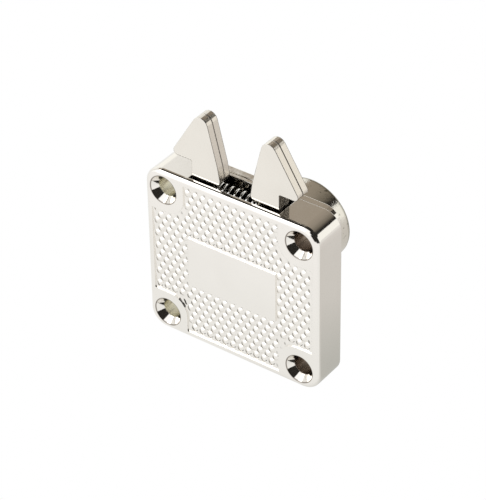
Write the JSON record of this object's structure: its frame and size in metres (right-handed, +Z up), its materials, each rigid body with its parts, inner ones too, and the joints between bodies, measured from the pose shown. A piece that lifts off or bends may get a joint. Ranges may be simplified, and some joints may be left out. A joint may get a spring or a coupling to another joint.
{
  "type": "roller shutter lock",
  "caption": "Surface-mounted roller shutter lock: flat square case with screw holes, sprung double-plate hooks out of its top edge and a round key barrel behind.",
  "frame": {"origin": "centre of the four screw holes, on the mounting face that lies against the shutter's end slat", "axes": "+X along the top edge, +Y through the door towards the barrel's key end, +Z up towards the hooks"},
  "size_m": [0.04, 0.0272, 0.0515],
  "materials": {
    "case_plating": "bright nickel plate on die-cast zinc",
    "housing_plating": "bright nickel plate on die-cast zinc",
    "hook_plating": "bright nickel plate on stamped steel",
    "pin_steel": "turned steel",
    "spring_steel": "drawn spring wire",
    "plug_plating": "bright nickel plate",
    "cam_brass": "cast",
    "wafer_brass": "stamped"
  },
  "bodies": {
    "lock": {"case": "case_plating", "barrel_housing": "housing_plating", "pivot_pin_left": "pin_steel", "pivot_pin_right": "pin_steel", "hook_spring": "spring_steel"},
    "hook_left": {"hook_left_front": "hook_plating", "hook_left_rear": "hook_plating", "hook_rivet_left": "pin_steel"},
    "hook_right": {"hook_right_front": "hook_plating", "hook_right_rear": "hook_plating", "hook_rivet_right": "pin_steel"},
    "plug": {"plug": "plug_plating", "cam": "cam_brass", "cam_screw": "pin_steel", "wafer_spring_1": "spring_steel", "wafer_spring_2": "spring_steel", "wafer_spring_3": "spring_steel", "wafer_spring_4": "spring_steel", "wafer_spring_5": "spring_steel"},
    "wafer_1": {"wafer_1": "wafer_brass"},
    "wafer_2": {"wafer_2": "wafer_brass"},
    "wafer_3": {"wafer_3": "wafer_brass"},
    "wafer_4": {"wafer_4": "wafer_brass"},
    "wafer_5": {"wafer_5": "wafer_brass"}
  },
  "joints": [
    {"name": "plug_turn", "type": "hinge", "parent": "lock", "child": "plug", "pos_m": [0, 0, -0.00125], "axis": [0, -1, 0], "range_deg": [0, 90], "deforming": ["hook_spring"]},
    {"name": "hook_left_swing", "type": "hinge", "parent": "lock", "child": "hook_left", "pos_m": [-0.0067, -0.0054, 0.006], "axis": [0, 1, 0], "range_deg": [0, 12]},
    {"name": "hook_right_swing", "type": "hinge", "parent": "lock", "child": "hook_right", "pos_m": [0.0067, -0.0054, 0.006], "axis": [0, -1, 0], "range_deg": [0, 12]},
    {"name": "wafer_1_slide", "type": "slide", "parent": "plug", "child": "wafer_1", "axis": [0, 0, 1], "range_m": [0, 0.0007], "deforming": ["wafer_spring_1"]},
    {"name": "wafer_2_slide", "type": "slide", "parent": "plug", "child": "wafer_2", "axis": [0, 0, 1], "range_m": [0, 0.0007], "deforming": ["wafer_spring_2"]},
    {"name": "wafer_3_slide", "type": "slide", "parent": "plug", "child": "wafer_3", "axis": [0, 0, 1], "range_m": [0, 0.0007], "deforming": ["wafer_spring_3"]},
    {"name": "wafer_4_slide", "type": "slide", "parent": "plug", "child": "wafer_4", "axis": [0, 0, 1], "range_m": [0, 0.0007], "deforming": ["wafer_spring_4"]},
    {"name": "wafer_5_slide", "type": "slide", "parent": "plug", "child": "wafer_5", "axis": [0, 0, 1], "range_m": [0, 0.0007], "deforming": ["wafer_spring_5"]}
  ],
  "couplings": [
    {"joint": "hook_left_swing", "follows": "plug_turn", "ratio": 0.13333},
    {"joint": "hook_right_swing", "follows": "plug_turn", "ratio": 0.13333}
  ]
}
